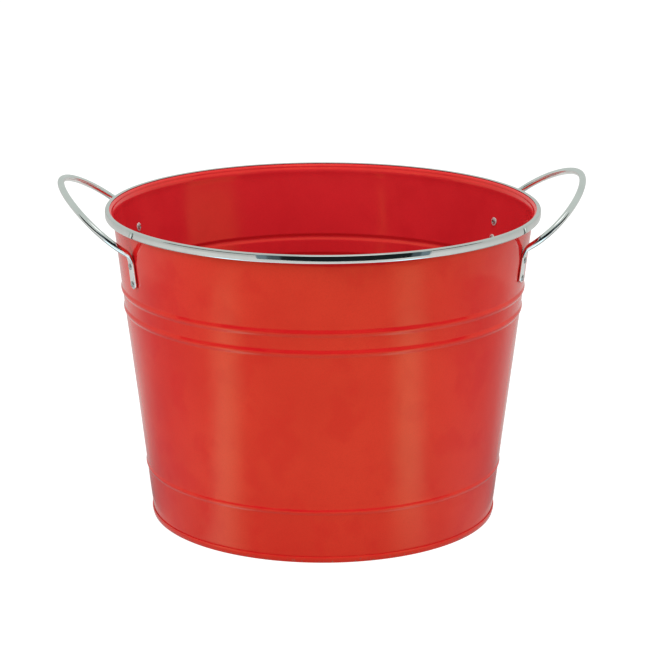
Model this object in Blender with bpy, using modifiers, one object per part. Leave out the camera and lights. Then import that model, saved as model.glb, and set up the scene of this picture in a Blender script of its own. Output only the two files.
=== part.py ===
"""Two-handled sheet-metal bucket: a rolled and tapered wall, a pressed floor folded round its
foot, a bright channel capping a wired rim, and two rod handles riveted to the wall.

Units are metres. +Z is up, the bucket stands on z = 0 and is centred on the Z axis.
The handles face +X (right) and -X (left); front is -Y and back is +Y.
"""

import math

import bmesh
import bpy
from mathutils import Matrix, Vector

# Overall size
HEIGHT = 0.258
RIM_RADIUS = 0.178
FOOT_WALL_RADIUS = 0.1419
TAPER = 0.1180

# Sheet and assembly
GAP = 0.0003
SHEET = 0.0007
FLOOR_SHEET = 0.0008
SEGMENTS = 60
MERGE = 0.00001

# Swaged beads that stand out of the wall: height of the middle, half width and rise
BEADS = (
    (0.0436, 0.0026, 0.0008),
    (0.1770, 0.0034, 0.0011),
    (0.1935, 0.0034, 0.0011),
)

# Rim: the channel, the wire inside the curl, and the curl itself
CHANNEL_SHEET = 0.0006
CHANNEL_HEIGHT = 0.0065
CHANNEL_INNER_RADIUS = 0.1744
CHANNEL_CORNER = 0.0008
WIRE_RADIUS = 0.0015
WIRE_SIDES = 8
FLARE_HEIGHT = 0.0090
FLARE_STEPS = (0.35, 0.6, 0.8, 1.0)
FLARE_POWER = 3
CURL_STEPS = 4

# Foot: the floor is raised inside and its edge is folded round the end of the wall
FLOOR_RISE = 0.0060
WALL_BOTTOM = 0.0012
FOOT_FOLD_HEIGHT = 0.0052
FOOT_INNER_RADIUS = 0.1394

# Side seam: a flat lock seam standing proud of the wall, left of straight back
SEAM_AZIMUTH = math.radians(116.0)
SEAM_WIDTH = 0.0065
SEAM_HEIGHT = 0.0009
SEAM_ROOT = 0.0003
SEAM_STEPS = 2

# Handles: the rod, its flattened ends and the loop that it is bent to
ROD_RADIUS = 0.00275
TAB_WIDTH = 0.0090
TAB_THICKNESS = 0.0024
TAB_END_DEPTH = 0.0512
CORNER_DEPTH = 0.0235
LEG_HALF_SPACING = 0.070
LOOP_TILT = math.radians(38.7)
LOOP_REACH = 0.0731
LEG_SPLAY = math.radians(37.0)
LEG_PULL = 0.040
GRIP_PULL = 0.045
BEND_LENGTH = 0.0065
BEND_ROUNDNESS = 0.85
ROD_SIDES = 12
GRIP_STEPS = 20
BEND_STEPS = 6
TAB_STEPS = 5
END_STEPS = 4
ROUND_EXPONENT = 2.0
FLAT_EXPONENT = 4.0

# Rivets: measured outward along the wall's normal from the wall's outer face
RIVET_DEPTHS = (("upper", 0.0325), ("lower", 0.0470))
SHANK_RADIUS = 0.0016
HEAD_RADIUS = 0.0026
HEAD_HEIGHT = 0.0010
CLINCH_RADIUS = 0.0023
CLINCH_HEIGHT = 0.0008
RIVET_BORE_RADIUS = 0.0009
RIVET_BORE_END = -0.0005
WASHER_RADIUS = 0.0035
WASHER_THICKNESS = 0.0006
WASHER_FACE = -0.00125
FASTENER_SEGMENTS = 12
CUTTER_REACH = 0.008

# The handles sit a little behind the middle. Each side: its turn about Z, and whether the handle's
# own +Y end comes to the back (1) or to the front (-1)
HANDLE_SHIFT = math.radians(1.35)
SIDES = (("right", HANDLE_SHIFT, 1.0), ("left", math.pi - HANDLE_SHIFT, -1.0))
ENDS = (("back", 1.0), ("front", -1.0))

WALL_TILT = math.atan(TAPER)


def clear_scene():
    """Remove every object that the file starts with."""
    for existing in list(bpy.data.objects):
        bpy.data.objects.remove(existing, do_unlink=True)


def make_collection(name):
    """Return a new collection linked to the scene."""
    collection = bpy.data.collections.new(name)
    bpy.context.scene.collection.children.link(collection)
    return collection


def make_material(name, color, roughness, metallic):
    """Return a Principled material with one colour and finish."""
    material = bpy.data.materials.new(name)
    material.use_nodes = True
    shader = material.node_tree.nodes["Principled BSDF"]
    shader.inputs["Base Color"].default_value = (*color, 1.0)
    shader.inputs["Roughness"].default_value = roughness
    shader.inputs["Metallic"].default_value = metallic
    return material


def add_object(name, mesh, material, collection):
    """Place a mesh in the scene as one named part."""
    piece = bpy.data.objects.new(name, mesh)
    collection.objects.link(piece)
    if material is not None:
        mesh.materials.clear()
        mesh.materials.append(material)
    return piece


def profile_mesh(name, points, closed):
    """Return a mesh of one outline in the XZ plane, given as radius and height pairs."""
    count = len(points)
    last = count if closed else count - 1
    edges = [(index, (index + 1) % count) for index in range(last)]
    mesh = bpy.data.meshes.new(name)
    mesh.from_pydata([(radius, 0.0, height) for radius, height in points], edges, [])
    return mesh


def add_screw(piece, segments, angle=2.0 * math.pi):
    """Turn the piece's outline about its Z axis."""
    screw = piece.modifiers.new("turn", "SCREW")
    screw.axis = "Z"
    screw.angle = angle
    screw.steps = segments
    screw.render_steps = segments
    screw.use_merge_vertices = True
    screw.merge_threshold = MERGE
    screw.use_smooth_shade = True
    return screw


def add_solidify(piece, thickness):
    """Give an open sheet its thickness, behind its face."""
    solidify = piece.modifiers.new("sheet", "SOLIDIFY")
    solidify.thickness = thickness
    solidify.offset = -1.0
    solidify.use_even_offset = True


def add_boolean(piece, other, operation):
    """Cut or join the piece with another object."""
    boolean = piece.modifiers.new(other.name, "BOOLEAN")
    boolean.operation = operation
    boolean.solver = "EXACT"
    boolean.object = other


def mark_as_guide(piece):
    """Show a cutter as wire and keep it out of the model."""
    piece.hide_render = True
    piece.display_type = "WIRE"


def wall_radius(height):
    """Radius of the plain cone of the wall's outer face."""
    return FOOT_WALL_RADIUS + TAPER * height


def bead_rise(height):
    """How far the swaged beads push the wall out at this height."""
    rise = 0.0
    for middle, half_width, highest in BEADS:
        offset = abs(height - middle) / half_width
        if offset < 1.0:
            rise = 0.5 * highest * (1.0 + math.cos(math.pi * offset))
    return rise


def body_heights(bottom, top):
    """Heights that the wall's outline needs between its ends, bottom first."""
    heights = [bottom]
    for middle, half_width, _ in BEADS:
        heights += [middle + step * half_width / 2.0 for step in (-2, -1, 0, 1, 2)]
    heights.append(top)
    return heights


def curl_center():
    """Radius and height of the rim wire's middle."""
    radius = RIM_RADIUS - CHANNEL_SHEET - 2.0 * GAP - SHEET - WIRE_RADIUS
    height = HEIGHT - CHANNEL_SHEET - 2.0 * GAP - SHEET - WIRE_RADIUS
    return radius, height


def wall_outline():
    """Inner face of the wall from its foot to the flare, then over and down the curl."""
    inset = SHEET / math.cos(WALL_TILT)
    heights = body_heights(WALL_BOTTOM, HEIGHT - FLARE_HEIGHT)
    points = [(wall_radius(z) + bead_rise(z) - inset, z) for z in heights]
    center_radius, center_height = curl_center()
    curl_radius = WIRE_RADIUS + GAP + SHEET
    start_radius, start_height = points[-1]
    end_radius = center_radius - curl_radius
    rise = center_height - start_height
    for step in FLARE_STEPS:
        flare = (end_radius - start_radius - TAPER * rise) * step ** FLARE_POWER
        points.append((start_radius + TAPER * rise * step + flare, start_height + rise * step))
    for step in range(1, CURL_STEPS + 1):
        angle = math.pi * (1.0 - step / CURL_STEPS)
        points.append((
            center_radius + curl_radius * math.cos(angle),
            center_height + curl_radius * math.sin(angle),
        ))
    points.append((center_radius + curl_radius, HEIGHT - CHANNEL_HEIGHT + CHANNEL_SHEET + GAP))
    return points


def seam_outline():
    """Section of the lock seam: it follows the wall's outer face up to the flare."""
    heights = body_heights(FOOT_FOLD_HEIGHT + 4.0 * GAP, HEIGHT - FLARE_HEIGHT)
    faces = [(wall_radius(z) + bead_rise(z), z) for z in heights]
    outer = [(radius + SEAM_HEIGHT, z) for radius, z in reversed(faces)]
    inner = [(radius - SEAM_ROOT, z) for radius, z in faces]
    return outer + inner


def make_seam(collection):
    """The lock seam as a short turned strip, later joined to the wall."""
    piece = add_object("side_seam", profile_mesh("side_seam", seam_outline(), True), None, collection)
    angle = SEAM_WIDTH / wall_radius(HEIGHT / 2.0)
    mesh = piece.data
    outline = bmesh.new()
    outline.from_mesh(mesh)
    bmesh.ops.contextual_create(outline, geom=outline.edges[:])
    bmesh.ops.spin(
        outline,
        geom=outline.faces[:] + outline.edges[:] + outline.verts[:],
        cent=(0.0, 0.0, 0.0),
        axis=(0.0, 0.0, 1.0),
        angle=angle,
        steps=SEAM_STEPS,
    )
    bmesh.ops.recalc_face_normals(outline, faces=outline.faces[:])
    outline.to_mesh(mesh)
    outline.free()
    piece.rotation_euler = (0.0, 0.0, SEAM_AZIMUTH - angle / 2.0)
    mark_as_guide(piece)
    return piece


def make_wall(material, collection, seam, hole_cutters):
    """Tapered wall with its beads, flare, curl, side seam and rivet holes."""
    piece = add_object("wall", profile_mesh("wall", wall_outline(), False), material, collection)
    add_screw(piece, SEGMENTS)
    add_solidify(piece, SHEET)
    add_boolean(piece, seam, "UNION")
    for cutter in hole_cutters:
        add_boolean(piece, cutter, "DIFFERENCE")


def floor_outline():
    """Under face of the floor sheet, from the fold's outer edge in to the middle."""
    bend = 0.0010
    corner = 0.0005
    fold_outset = (GAP + FLOOR_SHEET) / math.cos(WALL_TILT)
    foot_radius = wall_radius(corner) + fold_outset
    return [
        (wall_radius(FOOT_FOLD_HEIGHT) + fold_outset, FOOT_FOLD_HEIGHT),
        (foot_radius, corner),
        (foot_radius - corner, 0.0),
        (FOOT_INNER_RADIUS + corner, 0.0),
        (FOOT_INNER_RADIUS, corner),
        (FOOT_INNER_RADIUS, FLOOR_RISE - bend),
        (FOOT_INNER_RADIUS - bend, FLOOR_RISE),
        (0.0, FLOOR_RISE),
    ]


def make_floor(material, collection):
    """Pressed floor whose edge turns down and folds up round the wall's foot."""
    piece = add_object("floor", profile_mesh("floor", floor_outline(), False), material, collection)
    add_screw(piece, SEGMENTS)
    add_solidify(piece, FLOOR_SHEET)


def channel_outline():
    """Section of the bright channel: top flange, outer face and bottom lip."""
    top = HEIGHT
    bottom = HEIGHT - CHANNEL_HEIGHT
    outer = RIM_RADIUS
    inner = outer - CHANNEL_SHEET
    corner = CHANNEL_CORNER
    return [
        (CHANNEL_INNER_RADIUS, top),
        (outer - corner, top),
        (outer, top - corner),
        (outer, bottom + corner),
        (outer - corner, bottom),
        (CHANNEL_INNER_RADIUS, bottom),
        (CHANNEL_INNER_RADIUS, bottom + CHANNEL_SHEET),
        (inner, bottom + CHANNEL_SHEET),
        (inner, top - CHANNEL_SHEET),
        (CHANNEL_INNER_RADIUS, top - CHANNEL_SHEET),
    ]


def make_channel(material, collection):
    """Bright channel pressed over the curled rim."""
    mesh = profile_mesh("rim_trim", channel_outline(), True)
    add_screw(add_object("rim_trim", mesh, material, collection), SEGMENTS)


def make_wire(material, collection):
    """Steel wire that the wall's top edge is curled round."""
    center_radius, center_height = curl_center()
    points = []
    for side in range(WIRE_SIDES):
        angle = -2.0 * math.pi * side / WIRE_SIDES
        points.append((
            center_radius + WIRE_RADIUS * math.cos(angle),
            center_height + WIRE_RADIUS * math.sin(angle),
        ))
    mesh = profile_mesh("rim_wire", points, True)
    add_screw(add_object("rim_wire", mesh, material, collection), SEGMENTS)


def tab_directions():
    """Across, outward and upward unit vectors of the wall behind a back tab."""
    azimuth = math.asin(LEG_HALF_SPACING / wall_radius(HEIGHT - CORNER_DEPTH))
    radial = Vector((math.cos(azimuth), math.sin(azimuth), 0.0))
    across = Vector((-math.sin(azimuth), math.cos(azimuth), 0.0))
    outward = radial * math.cos(WALL_TILT) - Vector((0.0, 0.0, math.sin(WALL_TILT)))
    upward = radial * math.sin(WALL_TILT) + Vector((0.0, 0.0, math.cos(WALL_TILT)))
    return radial, across, outward, upward


def wall_point(depth):
    """Point of the wall's outer face behind a back tab, this far below the rim."""
    radial = tab_directions()[0]
    height = HEIGHT - depth
    return radial * wall_radius(height) + Vector((0.0, 0.0, height))


def bezier(points, t):
    """Point of a Bezier curve through de Casteljau's construction."""
    while len(points) > 1:
        points = [first.lerp(second, t) for first, second in zip(points, points[1:])]
    return points[0]


def smoothstep(value):
    """Ease from 0 to 1."""
    value = min(max(value, 0.0), 1.0)
    return value * value * (3.0 - 2.0 * value)


def handle_stations():
    """Middle line of half a handle: each point with its flat width and its roundness, 0 to 1."""
    _, _, outward, upward = tab_directions()
    lift = outward * (GAP + TAB_THICKNESS / 2.0)
    end = wall_point(TAB_END_DEPTH) + lift
    corner = wall_point(CORNER_DEPTH) + lift
    tab_length = (corner - end).length - BEND_LENGTH
    end_radius = TAB_WIDTH / 2.0
    stations = []
    for step in range(1, END_STEPS + 1):
        angle = 0.5 * math.pi * step / END_STEPS
        distance = end_radius * (1.0 - math.cos(angle))
        stations.append((end + upward * distance, TAB_WIDTH * math.sin(angle), 0.0))
    for step in range(1, TAB_STEPS + 1):
        distance = end_radius + (tab_length - end_radius) * step / TAB_STEPS
        stations.append((end + upward * distance, TAB_WIDTH, 0.0))
    slope = Vector((math.cos(LOOP_TILT), 0.0, math.sin(LOOP_TILT)))
    sideways = Vector((0.0, 1.0, 0.0))
    middle = Vector((corner.x, 0.0, corner.z)) + slope * LOOP_REACH
    leg = slope * math.cos(LEG_SPLAY) + sideways * math.sin(LEG_SPLAY)
    loop = [corner, corner + leg * LEG_PULL, middle + sideways * GRIP_PULL, middle]
    leave = BEND_LENGTH / (3.0 * LEG_PULL)
    bend = [corner - upward * BEND_LENGTH, corner, bezier(loop, leave)]
    for step in range(1, BEND_STEPS + 1):
        t = step / BEND_STEPS
        stations.append((bezier(bend, t), TAB_WIDTH, smoothstep(BEND_ROUNDNESS * t)))
    for step in range(1, GRIP_STEPS + 1):
        t = leave + (1.0 - leave) * step / GRIP_STEPS
        stations.append((bezier(loop, t), TAB_WIDTH, 1.0))
    return stations


def section_ring(point, across, outward, width, thickness, exponent):
    """Corners of one section, from a rounded flat to a round rod."""
    ring = []
    for side in range(ROD_SIDES):
        angle = 2.0 * math.pi * side / ROD_SIDES
        cosine = math.cos(angle)
        sine = math.sin(angle)
        along = math.copysign(abs(cosine) ** (2.0 / exponent), cosine) * width / 2.0
        out = math.copysign(abs(sine) ** (2.0 / exponent), sine) * thickness / 2.0
        ring.append(point + across * along + outward * out)
    return ring


def handle_mesh():
    """Loft half a handle from its rounded end to the middle of the grip."""
    stations = handle_stations()
    _, across, outward, upward = tab_directions()
    points = [station[0] for station in stations]
    mesh = bmesh.new()
    rings = []
    tangent = upward
    for index, (point, flat_width, roundness) in enumerate(stations):
        if 0 < index < len(stations) - 1:
            new_tangent = (points[index + 1] - points[index - 1]).normalized()
        elif index == 0:
            new_tangent = upward
        else:
            new_tangent = Vector((0.0, -1.0, 0.0))
        turn = tangent.rotation_difference(new_tangent)
        across = turn @ across
        outward = turn @ outward
        tangent = new_tangent
        width = flat_width + (2.0 * ROD_RADIUS - flat_width) * roundness
        thickness = TAB_THICKNESS + (2.0 * ROD_RADIUS - TAB_THICKNESS) * roundness
        exponent = FLAT_EXPONENT + (ROUND_EXPONENT - FLAT_EXPONENT) * roundness
        ring = section_ring(point, across, outward, width, thickness, exponent)
        rings.append([mesh.verts.new(corner) for corner in ring])
    for corner in rings[-1]:
        corner.co.y = 0.0
    for lower, upper in zip(rings, rings[1:]):
        for side in range(ROD_SIDES):
            after = (side + 1) % ROD_SIDES
            mesh.faces.new((lower[side], lower[after], upper[after], upper[side]))
    mesh.faces.new(list(reversed(rings[0])))
    result = bpy.data.meshes.new("handle")
    mesh.to_mesh(result)
    mesh.free()
    result.shade_smooth()
    return result


def make_handle(name, mesh, turn, cutter, collection):
    """One handle: the mirrored half, turned to its side and drilled for its rivets."""
    piece = bpy.data.objects.new(name, mesh)
    collection.objects.link(piece)
    piece.rotation_euler = (0.0, 0.0, turn)
    mirror = piece.modifiers.new("both_legs", "MIRROR")
    mirror.use_axis = (False, True, False)
    mirror.use_mirror_merge = True
    mirror.merge_threshold = MERGE
    add_boolean(piece, cutter, "DIFFERENCE")


def rivet_frame(turn, end, depth):
    """World matrix of a rivet: its Z points out of the wall, its origin is on the outer face."""
    _, _, outward, _ = tab_directions()
    place = Matrix.Translation(wall_point(depth)) @ outward.to_track_quat("Z", "Y").to_matrix().to_4x4()
    if end < 0.0:
        flip = Matrix.Diagonal((1.0, -1.0, 1.0, 1.0))
        place = flip @ place @ flip
    return Matrix.Rotation(turn, 4, "Z") @ place


def make_hole_cutter(name, turn, collection):
    """Four drills, one for each rivet of a handle, through the tab and the wall."""
    mesh = bmesh.new()
    for _, end in ENDS:
        for _, depth in RIVET_DEPTHS:
            bmesh.ops.create_cone(
                mesh,
                cap_ends=True,
                segments=FASTENER_SEGMENTS,
                radius1=SHANK_RADIUS + GAP,
                radius2=SHANK_RADIUS + GAP,
                depth=2.0 * CUTTER_REACH,
                matrix=rivet_frame(turn, end, depth),
            )
    result = bpy.data.meshes.new(name)
    mesh.to_mesh(result)
    mesh.free()
    piece = bpy.data.objects.new(name, result)
    collection.objects.link(piece)
    mark_as_guide(piece)
    return piece


def rivet_outline():
    """Half section of a clinched tubular rivet, from the head's top to the bore's end."""
    seat = 2.0 * GAP + TAB_THICKNESS
    crown = seat + HEAD_HEIGHT
    clinch = WASHER_FACE - WASHER_THICKNESS - GAP
    tip = clinch - CLINCH_HEIGHT
    return [
        (0.0, crown),
        (0.5 * HEAD_RADIUS, crown - 0.15 * HEAD_HEIGHT),
        (0.85 * HEAD_RADIUS, crown - 0.5 * HEAD_HEIGHT),
        (HEAD_RADIUS, seat),
        (SHANK_RADIUS, seat),
        (SHANK_RADIUS, clinch),
        (CLINCH_RADIUS, clinch),
        (0.8 * CLINCH_RADIUS, tip),
        (0.55 * CLINCH_RADIUS, tip),
        (RIVET_BORE_RADIUS, clinch),
        (RIVET_BORE_RADIUS, RIVET_BORE_END),
        (0.0, RIVET_BORE_END),
    ]


def washer_outline():
    """Section of the washer under a rivet's clinched end."""
    hole = SHANK_RADIUS + GAP
    return [
        (hole, WASHER_FACE),
        (WASHER_RADIUS, WASHER_FACE),
        (WASHER_RADIUS, WASHER_FACE - WASHER_THICKNESS),
        (hole, WASHER_FACE - WASHER_THICKNESS),
    ]


def make_fasteners(rivet_material, washer_material, collection):
    """Eight rivets and their washers, two of each on every end of both handles."""
    rivet_mesh = profile_mesh("rivet", rivet_outline(), False)
    rivet_mesh.materials.append(rivet_material)
    washer_mesh = profile_mesh("washer", washer_outline(), True)
    washer_mesh.materials.append(washer_material)
    for side_name, turn, facing in SIDES:
        for end_name, end in ENDS:
            for level, depth in RIVET_DEPTHS:
                for kind, mesh in (("rivet", rivet_mesh), ("washer", washer_mesh)):
                    name = "_".join((kind, side_name, end_name, level))
                    piece = bpy.data.objects.new(name, mesh)
                    collection.objects.link(piece)
                    piece.matrix_world = rivet_frame(turn, end * facing, depth)
                    add_screw(piece, FASTENER_SEGMENTS)


def main():
    """Build the bucket."""
    clear_scene()
    parts = make_collection("bucket")
    cutters = make_collection("cutters")
    outside_red = make_material("red_enamel", (0.60, 0.035, 0.025), 0.22, 0.0)
    floor_red = make_material("red_enamel_floor", (0.55, 0.030, 0.022), 0.28, 0.0)
    bright = make_material("bright_chrome", (0.80, 0.82, 0.81), 0.08, 1.0)
    rod_bright = make_material("chromed_rod", (0.78, 0.80, 0.79), 0.10, 1.0)
    wire_steel = make_material("wire_steel", (0.42, 0.42, 0.41), 0.45, 1.0)
    rivet_steel = make_material("rivet_steel", (0.62, 0.62, 0.60), 0.30, 1.0)
    washer_steel = make_material("washer_steel", (0.58, 0.58, 0.56), 0.35, 1.0)
    seam = make_seam(cutters)
    hole_cutters = [make_hole_cutter("rivet_holes_" + name, turn, cutters) for name, turn, _ in SIDES]
    make_wall(outside_red, parts, seam, hole_cutters)
    make_floor(floor_red, parts)
    make_channel(bright, parts)
    make_wire(wire_steel, parts)
    rod = handle_mesh()
    rod.materials.append(rod_bright)
    for (name, turn, _), cutter in zip(SIDES, hole_cutters):
        make_handle("handle_" + name, rod, turn, cutter, parts)
    make_fasteners(rivet_steel, washer_steel, parts)


main()
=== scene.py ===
"""Looks of the two-handled enamelled bucket: detailed sheet, rim, handles and fasteners around
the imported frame, their materials, and a plain light studio.

Units are metres. The frame's +X and -X face the handles, +Z is up, and the bucket stands on z = 0.
"""

import math

import bpy
from mathutils import Matrix, Vector, noise


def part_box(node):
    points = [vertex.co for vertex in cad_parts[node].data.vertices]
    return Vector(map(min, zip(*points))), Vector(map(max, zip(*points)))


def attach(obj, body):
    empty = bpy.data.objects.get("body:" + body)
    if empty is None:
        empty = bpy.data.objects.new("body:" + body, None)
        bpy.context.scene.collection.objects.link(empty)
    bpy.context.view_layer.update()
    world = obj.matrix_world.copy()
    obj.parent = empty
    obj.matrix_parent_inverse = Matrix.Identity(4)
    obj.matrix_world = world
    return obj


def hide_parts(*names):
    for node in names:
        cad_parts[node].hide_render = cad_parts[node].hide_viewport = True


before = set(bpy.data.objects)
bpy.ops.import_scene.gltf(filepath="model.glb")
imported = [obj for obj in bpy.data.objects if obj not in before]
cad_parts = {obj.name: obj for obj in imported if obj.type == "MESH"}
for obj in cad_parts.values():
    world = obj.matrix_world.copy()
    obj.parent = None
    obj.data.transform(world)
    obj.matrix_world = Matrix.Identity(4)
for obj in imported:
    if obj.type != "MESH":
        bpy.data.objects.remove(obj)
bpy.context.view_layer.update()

# Sizes read from the frame
RIM_LOW, RIM_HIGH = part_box("rim_trim")
FLOOR_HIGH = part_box("floor")[1]
HEIGHT = RIM_HIGH.z
RIM_RADIUS = RIM_HIGH.x
CHANNEL_HEIGHT = RIM_HIGH.z - RIM_LOW.z

# The wall's cone and its sheet
FOOT_WALL_RADIUS = 0.1419
TAPER = 0.1180
SHEET = 0.0007
WALL_TILT = math.atan(TAPER)
WALL_BOTTOM = 0.0012

# Swaged beads: height of the middle, half width, and how far each stands out
BEADS = (
    (0.0436, 0.0026, 0.0008),
    (0.1770, 0.0034, 0.0011),
    (0.1935, 0.0034, 0.0011),
)

# Neck below the rim, where the wall eases to upright and then flares out to the curl
FLARE_HEIGHT = 0.0125
FLARE_ROWS = 16
FLARE_POWER = 2.4
NECK_SHARE = 0.50

# Space between neighbouring pieces, and the hair's breadth used where pieces touch
GAP = 0.0003
CONTACT = 0.00003

# Rim
CHANNEL_SHEET = 0.0006
CHANNEL_INNER_RADIUS = 0.1744
CHANNEL_CORNER = 0.0011
CHANNEL_CROWN = 0.00012
CHANNEL_EDGE = 0.0003
CHANNEL_LIP = 0.0002
CHANNEL_RIPPLE = 0.00006
WIRE_RADIUS = 0.0015

# Foot
FLOOR_SHEET = 0.0008
FLOOR_RISE = FLOOR_HIGH.z - FLOOR_SHEET
FOOT_FOLD_HEIGHT = 0.0052
FOLD_BULGE = 0.00025
HEM_ROUND = 0.0004
FOOT_CORNER = 0.0009
FOOT_BEND = 0.0012
FOLD_ROWS = 8
FLOOR_ROWS = 16

# Side seam
SEAM_AZIMUTH = math.radians(116.0)
SEAM_WIDTH = 0.0065
SEAM_HEIGHT = 0.0009
SEAM_EDGE = 0.0005
CREASE_PLACE = -0.52
CREASE_DEPTH = 0.35
CREASE_WIDTH = 0.07
SEAM_FOOT_FADE = 0.002
SEAM_TOP_FADE = 0.003

# Unevenness of the rolled sheet
BROAD_WAVE = 0.00030
SMALL_WAVE = 0.00010
WAVE_FOOT = 0.006
WAVE_FADE = 0.02

# Handles
ROD_RADIUS = 0.00275
TAB_WIDTH = 0.0090
TAB_THICKNESS = 0.0024
TAB_END_DEPTH = 0.0512
CORNER_DEPTH = 0.0235
LEG_HALF_SPACING = 0.070
LOOP_TILT = math.radians(38.7)
LOOP_REACH = 0.0731
LEG_SPLAY = math.radians(37.0)
LEG_PULL = 0.040
GRIP_PULL = 0.045
BEND_LENGTH = 0.0065
BEND_ROUNDNESS = 0.85
ROUND_EXPONENT = 2.0
FLAT_EXPONENT = 4.5
ROD_SIDES = 32
TIP_THICKNESS = 0.55
TIP_STATIONS = 10
TAB_STATIONS = 12
BEND_STATIONS = 24
LOOP_STATIONS = 80
ROUNDING_STATIONS = 6

# Fasteners; the rivets' depths are below the rim
RIVET_DEPTHS = (("upper", 0.0325), ("lower", 0.0470))
SHANK_RADIUS = 0.0016
HEAD_RADIUS = 0.0026
HEAD_HEIGHT = 0.0011
HEAD_RIM_SHARE = 0.15
HEAD_ROWS = 9
CLINCH_RADIUS = 0.0023
CLINCH_HEIGHT = 0.0009
RIVET_BORE_RADIUS = 0.0010
RIVET_BORE_DEPTHS = (0.0008, 0.0010)
WASHER_RADIUS = 0.0035
WASHER_THICKNESS = 0.0006
WASHER_BEVEL = 0.00012
FASTENER_SEGMENTS = 48

# Materials: colours in linear RGB, roughness from smooth to dull
WHITE = (1.0, 1.0, 1.0)
ENAMEL_TINT = (1.0, 0.60, 0.17)
CHIP_COLOR = (0.16, 0.13, 0.12)
OUTSIDE_ENAMEL = {
    "deep": (0.715, 0.0130, 0.0165),
    "light": (0.770, 0.0215, 0.0200),
    "blotch": (0.705, 0.0040, 0.0140),
    "smooth": 0.07,
    "dull": 0.13,
    "specular": 0.72,
}
# The inside is the same red enamel as the outside, made darker: painted shade of the bucket's inside
SHADED_INSIDE_ENAMEL = {
    "deep": (0.555, 0.0165, 0.0235),
    "light": (0.585, 0.0190, 0.0260),
    "blotch": (0.525, 0.0140, 0.0210),
    "smooth": 0.10,
    "dull": 0.17,
    "specular": 0.60,
}
RIM_CHROME = {"color": (0.80, 0.83, 0.81), "smooth": 0.045, "dull": 0.090, "ripple": 0.00005}
ROD_CHROME = {"color": (0.90, 0.93, 0.91), "smooth": 0.070, "dull": 0.130, "ripple": 0.00004}
RIVET_PLATE = {"color": (0.56, 0.57, 0.56), "smooth": 0.16, "dull": 0.30, "metallic": 0.85}
WASHER_PLATE = {"color": (0.70, 0.70, 0.68), "smooth": 0.26, "dull": 0.42, "metallic": 0.35}

# Mesh density
RING_SEGMENTS = 288
PLAIN_STEP = 0.0040
BEAD_STEPS = 12

# The bucket stands turned a little in the picture, so camera and lights turn the other way
TURN = math.radians(-3.8)

# Camera and studio
CAMERA_DISTANCE = 2.100
CAMERA_ELEVATION = math.radians(12.4)
CAMERA_LENS = 141.4
CAMERA_SENSOR = 36.0
CAMERA_CLIP = 0.05
CAMERA_AIM_DEPTH = 0.1028
CAMERA_AIM_SIDE = 0.0029
GROUND_HALF = 8.0
GROUND_DROP = 0.0002
GROUND_COLOR = (0.25, 0.25, 0.25)
GROUND_ROUGHNESS = 0.9
GROUND_SEEN = 0.93
GROUND_FILL = 0.36
GROUND_TINT = (1.0, 1.0, 0.96)
WORLD_FILL_COLOR = WHITE
WORLD_FILL = 0.62
WORLD_MIRROR_COLOR = (0.93, 1.0, 0.96)
WORLD_MIRROR = 0.60

# Soft strips on the ground, which the wall mirrors as upright bands: sideways place of the band on
# the wall, and density of the strip for the band's foot, middle and top
LEFT_BAND = (-0.0790, 0.70, 1.00, 0.40)
RIGHT_BAND = (0.0705, 0.40, 1.10, 0.50)
FRONT_BAND = (0.0, 0.02, 0.14, 0.08)
SHADE_BAND = (0.0, 0.52, 0.52, 0.52)
BAND_START = 0.016
BAND_END = 0.95
BAND_FOOT_FADE = 0.30
BAND_TOP_START = 0.50
BAND_ROWS = 12
FRONT_HALF_WIDTH = 95.0
SIDE_SHADES = (("left_shade", -96.0), ("right_shade", 98.0))
SHADE_HALF_WIDTH = 48.0
SHADE_STRENGTH = 0.12
GLOW_COLUMNS = 12
GLOW_LAYER = 0.0010
SHADE_LAYER = 0.0008
FRONT_LAYER = 0.0005
GLOW_HALF_WIDTH = 15.0
GLOW_COLOR = (0.50, 0.80, 0.95)
GLOW_STRENGTH = 2.4

# Soft lights: name, azimuth in degrees, distance, height, size, power in watts
SOFT_LIGHTS = (
    ("left_softbox", -62.0, 1.5, 1.0, 0.9, 8.5),
    ("right_softbox", 60.0, 1.5, 0.9, 0.8, 4.6),
    ("overhead_softbox", 38.0, 0.30, 1.9, 1.2, 26.0),
)

# Upright dark cards: name, first and last azimuth in degrees, brightness
CARD_DISTANCE = 1.00
CARD_HEIGHT = 1.00
DARK_COLOR = (0.010, 0.014, 0.016)
DARK_CARDS = (
    ("dark_left_end", -31.0, -26.0, 16.0),
    ("dark_left", -26.0, -20.0, 7.0),
    ("dark_front", -20.0, 42.0, 1.0),
    ("dark_right", 42.0, 47.0, 7.0),
    ("dark_right_end", 47.0, 52.0, 16.0),
)

# Bright card overhead: azimuth in degrees, distance and height
TOP_CARD_PLACE = (38.0, 0.30, 1.90)
TOP_CARD_HALF = 0.38
TOP_CARD_GLOW = 1.30

# Cards inside the bucket, glowing inward: name, first and last azimuth in degrees
INNER_COLOR = (1.05, 0.50, 0.38)
INNER_CARDS = (("inner_right", 78.0, 128.0), ("inner_left", -53.0, -47.0))
INNER_REACH = 0.157
INNER_LOW = 0.165
INNER_HIGH = 0.243

# Dark ring; degrees to each side of the camera
RING_STEPS = 48
RING_REACH = 84.0
RING_DISTANCE = 1.30
RING_BOTTOM = 0.21
RING_TOP = 0.88

# The handles sit a little behind the middle. Each side: its turn about Z, and whether the handle's
# own +Y end comes to the back (1) or to the front (-1)
HANDLE_SHIFT = math.radians(1.35)
SIDES = (("right", HANDLE_SHIFT, 1.0), ("left", math.pi - HANDLE_SHIFT, -1.0))
ENDS = (("back", 1.0), ("front", -1.0))


# ---------------------------------------------------------------- outlines

def wall_radius(height):
    """Radius of the plain cone of the wall's outer face."""
    return FOOT_WALL_RADIUS + TAPER * height


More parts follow.
